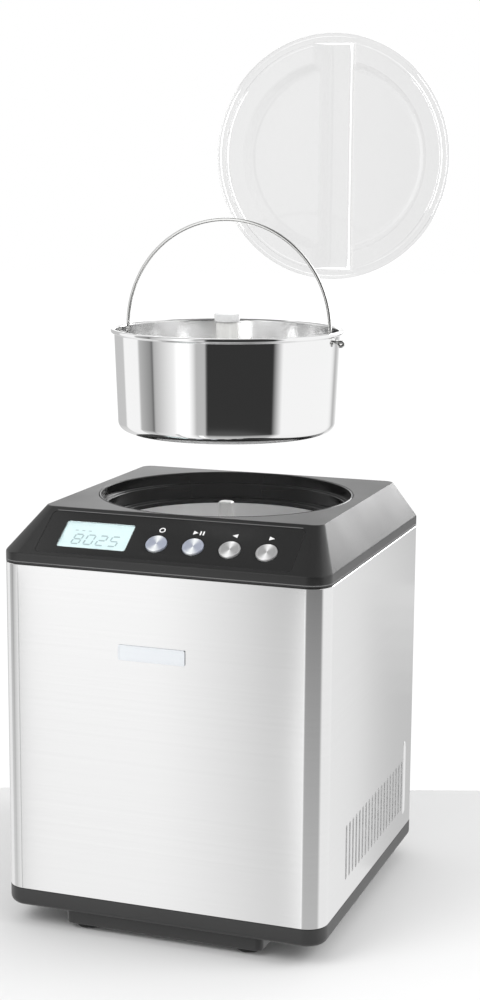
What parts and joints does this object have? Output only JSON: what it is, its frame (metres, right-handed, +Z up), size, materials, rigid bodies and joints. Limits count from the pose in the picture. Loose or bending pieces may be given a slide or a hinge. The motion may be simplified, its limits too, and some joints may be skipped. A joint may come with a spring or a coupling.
{
  "type": "ice cream maker",
  "caption": "Upright counter-top ice cream maker with a lift-out steel bowl on a wire bail, a paddle, a clear round lid, a sloped control panel and a compressor inside.",
  "frame": {"origin": "centre of the base pan's flat underside, between the rubber feet, which reach 5 mm lower", "axes": "+Z up, +Y towards the back, +X towards the right seen from the front; the control panel faces -Y"},
  "size_m": [0.3135, 0.3006, 0.7615],
  "materials": {
    "brushed_steel": "vertical-grain brushed stainless steel",
    "polished_steel": "mirror-polished stainless steel",
    "button_steel": "turned steel face with a bright rim",
    "black_cover": "satin black moulding",
    "black_collar": "matt black moulding",
    "charcoal_base": "satin charcoal moulding",
    "black_rubber": "matt rubber",
    "display_lens": "clear lens",
    "display_panel": "pale backlit display",
    "circuit_board": "lacquered circuit board",
    "aluminium": "mill finish",
    "copper": "drawn copper",
    "foam": "rigid insulating foam",
    "zinc_steel": "galvanised sheet",
    "shaft_steel": "ground steel",
    "white_nylon": "natural nylon",
    "frosted_plastic": "milky translucent plastic",
    "clear_plastic": "crystal-clear moulding",
    "motor_metal": "plated motor can",
    "black_enamel": "black enamelled steel",
    "fan_plastic": "black moulding",
    "badge_metal": "satin blank plate"
  },
  "bodies": {
    "cabinet": {"body_wrap": "brushed_steel", "top_cover": "black_cover", "control_fascia": "black_cover", "well_collar": "black_collar", "base_pan": "charcoal_base", "foot_front_left": "black_rubber", "foot_front_right": "black_rubber", "foot_rear_left": "black_rubber", "foot_rear_right": "black_rubber", "compressor_grommet_1": "black_rubber", "compressor_grommet_2": "black_rubber", "compressor_grommet_3": "black_rubber", "compressor_grommet_4": "black_rubber", "cord_gland": "black_rubber", "display_window": "display_lens", "lcd_module": "display_panel", "control_board": "circuit_board", "power_board": "circuit_board", "evaporator_drum": "aluminium", "condenser": "aluminium", "gearbox_housing": "aluminium", "evaporator_coil": "copper", "filter_dryer": "copper", "discharge_pipe": "copper", "liquid_pipe": "copper", "capillary_tube": "copper", "suction_pipe": "copper", "drum_insulation": "foam", "rear_panel": "zinc_steel", "mid_shelf": "zinc_steel", "compressor_bracket": "zinc_steel", "gearbox_cover": "zinc_steel", "rear_screw_lower_left": "shaft_steel", "rear_screw_lower_right": "shaft_steel", "rear_screw_upper_left": "shaft_steel", "rear_screw_upper_right": "shaft_steel", "shaft_bush": "white_nylon", "drive_motor": "motor_metal", "fan_motor": "motor_metal", "compressor": "black_enamel", "fan_shroud": "fan_plastic", "compressor_terminal_cover": "fan_plastic", "front_badge": "badge_metal"},
    "bowl": {"bowl": "polished_steel"},
    "bail": {"bail": "polished_steel"},
    "dasher": {"dasher": "white_nylon", "dasher_cap": "frosted_plastic"},
    "lid": {"lid": "clear_plastic"},
    "drive": {"drive_shaft": "shaft_steel", "output_gear": "white_nylon"},
    "pinion": {"motor_pinion": "shaft_steel"},
    "fan": {"fan_wheel": "fan_plastic"},
    "button_power": {"button_power": "button_steel"},
    "button_start_pause": {"button_start_pause": "button_steel"},
    "button_left": {"button_left": "button_steel"},
    "button_right": {"button_right": "button_steel"}
  },
  "joints": [
    {"name": "bowl_lift", "type": "slide", "parent": "cabinet", "child": "bowl", "axis": [0, 0, 1], "range_m": [-0.165, 0]},
    {"name": "bail_swing", "type": "hinge", "parent": "bowl", "child": "bail", "pos_m": [0, 0.01525, 0.4928], "axis": [1, 0, 0], "range_deg": [-70, 70]},
    {"name": "dasher_spin", "type": "hinge", "parent": "bowl", "child": "dasher", "pos_m": [0, 0.01525, 0.46], "axis": [0, 0, 1], "continuous": true},
    {"name": "drive_spin", "type": "hinge", "parent": "cabinet", "child": "drive", "pos_m": [0, 0.01525, 0.21], "axis": [0, 0, 1], "continuous": true},
    {"name": "pinion_spin", "type": "hinge", "parent": "cabinet", "child": "pinion", "pos_m": [0.01995, -0.0193, 0.21], "axis": [0, 0, 1], "continuous": true},
    {"name": "fan_spin", "type": "hinge", "parent": "cabinet", "child": "fan", "pos_m": [0.083, 0.01525, 0.0886], "axis": [1, 0, 0], "continuous": true},
    {"name": "lid_lift", "type": "slide", "parent": "cabinet", "child": "lid", "axis": [0, 0, 1], "range_m": [0, 0.12]},
    {"name": "button_power_press", "type": "slide", "parent": "cabinet", "child": "button_power", "axis": [0, 0.5555, -0.8315], "range_m": [0, 0.0012], "stiffness_N_per_m": 800, "springref_m": -0.001},
    {"name": "button_start_pause_press", "type": "slide", "parent": "cabinet", "child": "button_start_pause", "axis": [0, 0.5555, -0.8315], "range_m": [0, 0.0012], "stiffness_N_per_m": 800, "springref_m": -0.001},
    {"name": "button_left_press", "type": "slide", "parent": "cabinet", "child": "button_left", "axis": [0, 0.5555, -0.8315], "range_m": [0, 0.0012], "stiffness_N_per_m": 800, "springref_m": -0.001},
    {"name": "button_right_press", "type": "slide", "parent": "cabinet", "child": "button_right", "axis": [0, 0.5555, -0.8315], "range_m": [0, 0.0012], "stiffness_N_per_m": 800, "springref_m": -0.001}
  ],
  "couplings": [
    {"joint": "dasher_spin", "follows": "drive_spin", "ratio": 1},
    {"joint": "pinion_spin", "follows": "drive_spin", "ratio": -3.2}
  ]
}
